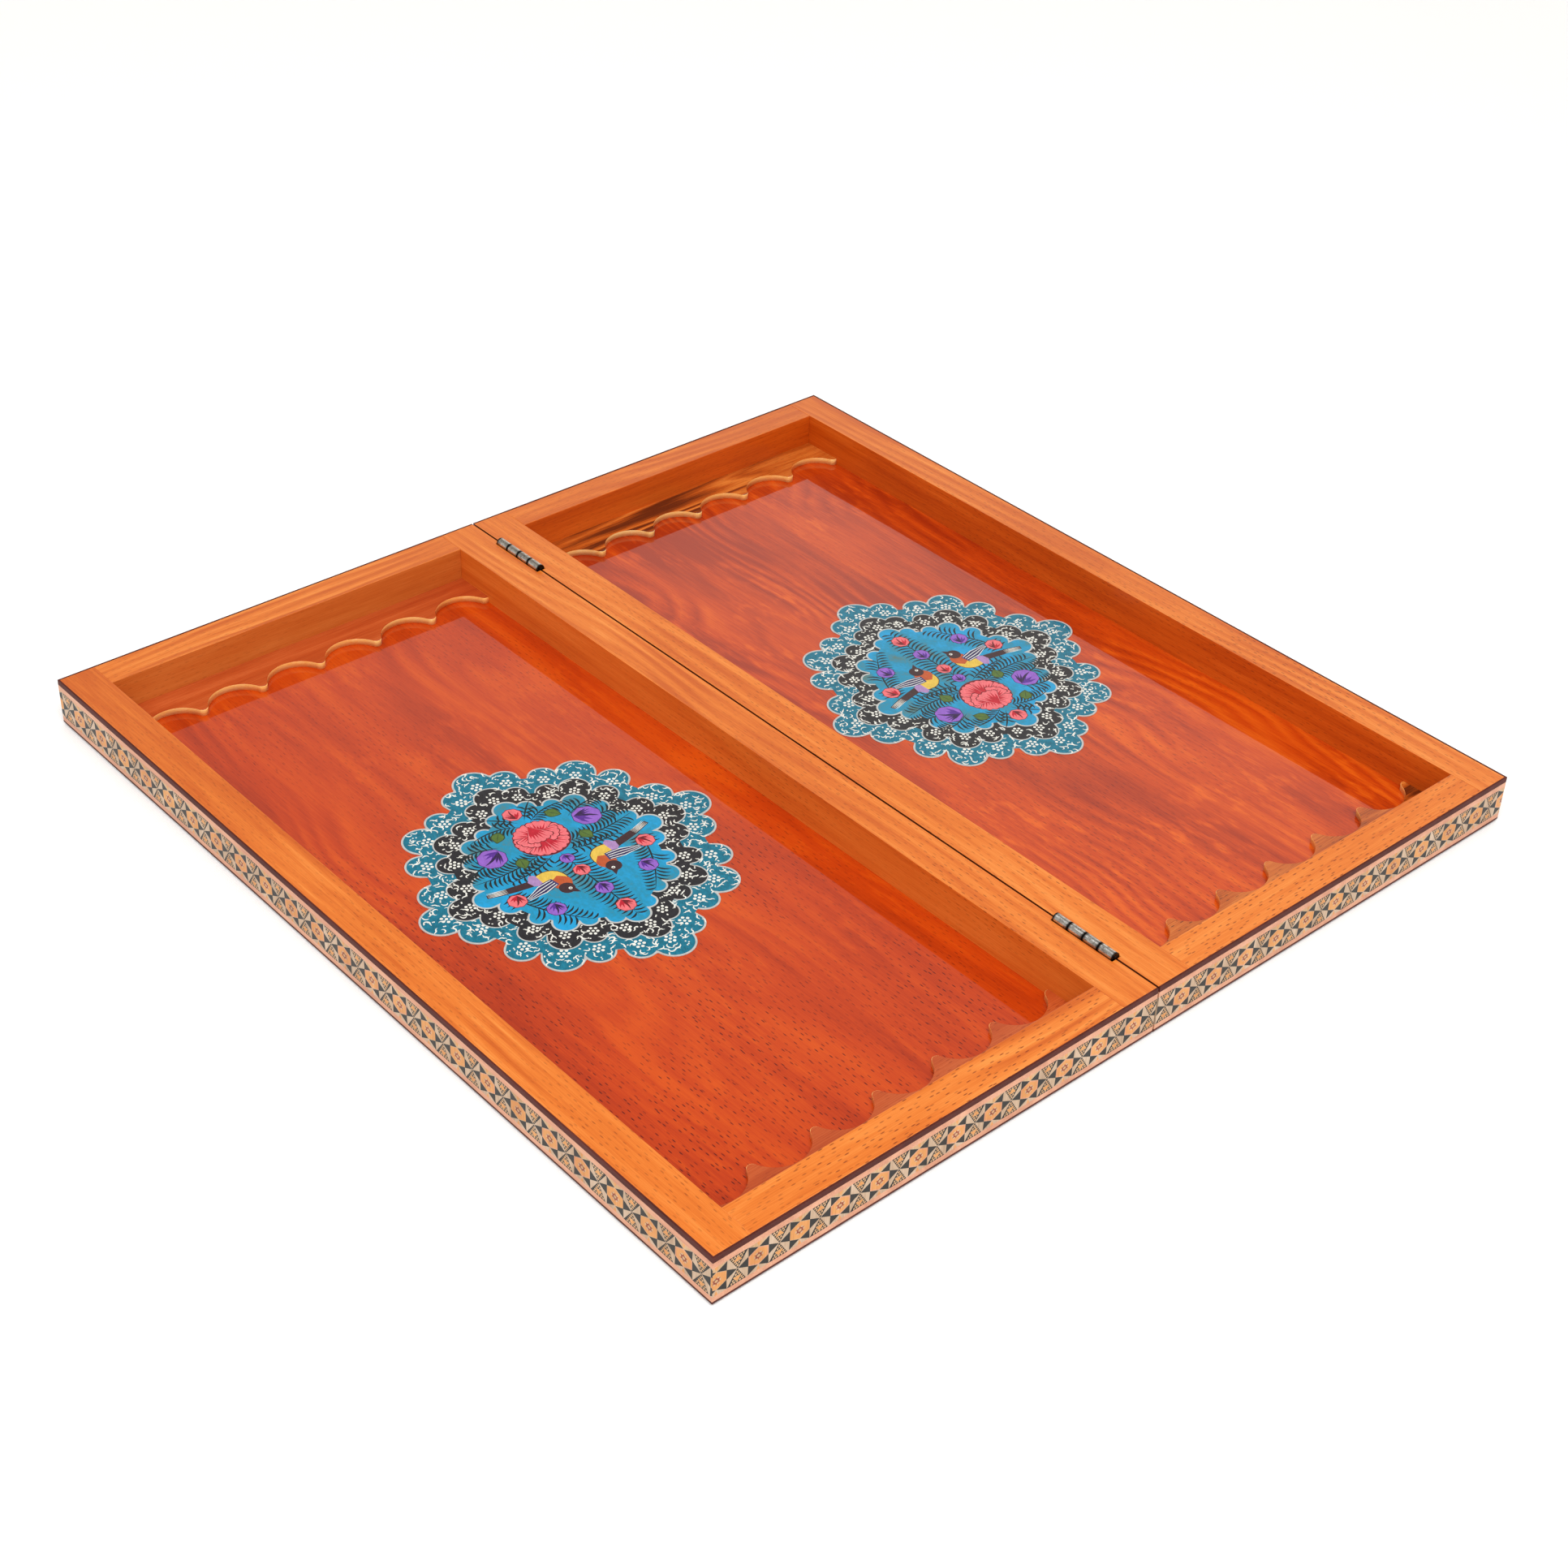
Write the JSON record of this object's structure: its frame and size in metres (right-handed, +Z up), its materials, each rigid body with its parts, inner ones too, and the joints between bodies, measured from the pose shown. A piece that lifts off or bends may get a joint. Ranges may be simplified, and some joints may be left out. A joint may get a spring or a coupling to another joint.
{
  "type": "folding backgammon board",
  "caption": "Wooden backgammon board of hinged trays with scalloped point strips, painted medallions and marquetry edge bands; folds shut into a flat case.",
  "frame": {"origin": "middle of the open board's footprint, on the surface it rests on, under the fold", "axes": "+X across the fold from the left half to the right half, +Y along the fold towards the rear, +Z up"},
  "size_m": [0.497, 0.5, 0.0287],
  "materials": {
    "beech_rail": "lacquered beech",
    "field": "red-brown veneer under gloss lacquer",
    "back": "lacquered veneer",
    "point_strip": "lacquered, pale moulded edge",
    "medallion": "hand-painted, lacquered",
    "inlay": "geometric marquetry of dark, pale and gold slips",
    "stringing": "pale veneer strip",
    "edging": "dark veneer strip",
    "dowel": "bare",
    "steel": "aged"
  },
  "bodies": {
    "left_half": {"left_outer_rail": "beech_rail", "left_hinge_rail": "beech_rail", "left_front_rail": "beech_rail", "left_rear_rail": "beech_rail", "left_field_panel": "field", "left_back_panel": "back", "left_front_point_strip": "point_strip", "left_rear_point_strip": "point_strip", "left_medallion": "medallion", "left_outer_inlay": "inlay", "left_front_inlay": "inlay", "left_rear_inlay": "inlay", "left_upper_stringing": "stringing", "left_lower_stringing": "stringing", "left_upper_edging": "edging", "left_outer_lower_edging": "edging", "left_front_lower_edging": "edging", "left_rear_lower_edging": "edging", "left_corner_dowels": "dowel", "left_hinge_screws": "steel", "front_hinge_left_leaf": "steel", "rear_hinge_left_leaf": "steel", "front_hinge_pin": "steel", "rear_hinge_pin": "steel"},
    "right_half": {"right_outer_rail": "beech_rail", "right_hinge_rail": "beech_rail", "right_front_rail": "beech_rail", "right_rear_rail": "beech_rail", "right_field_panel": "field", "right_back_panel": "back", "right_front_point_strip": "point_strip", "right_rear_point_strip": "point_strip", "right_medallion": "medallion", "right_outer_inlay": "inlay", "right_front_inlay": "inlay", "right_rear_inlay": "inlay", "right_upper_stringing": "stringing", "right_lower_stringing": "stringing", "right_upper_edging": "edging", "right_outer_lower_edging": "edging", "right_front_lower_edging": "edging", "right_rear_lower_edging": "edging", "right_corner_dowels": "dowel", "right_hinge_screws": "steel", "front_hinge_right_leaf": "steel", "rear_hinge_right_leaf": "steel"}
  },
  "joints": [
    {"name": "fold", "type": "hinge", "parent": "left_half", "child": "right_half", "pos_m": [0, 0, 0.02635], "axis": [0, -1, 0], "range_deg": [0, 180]}
  ]
}
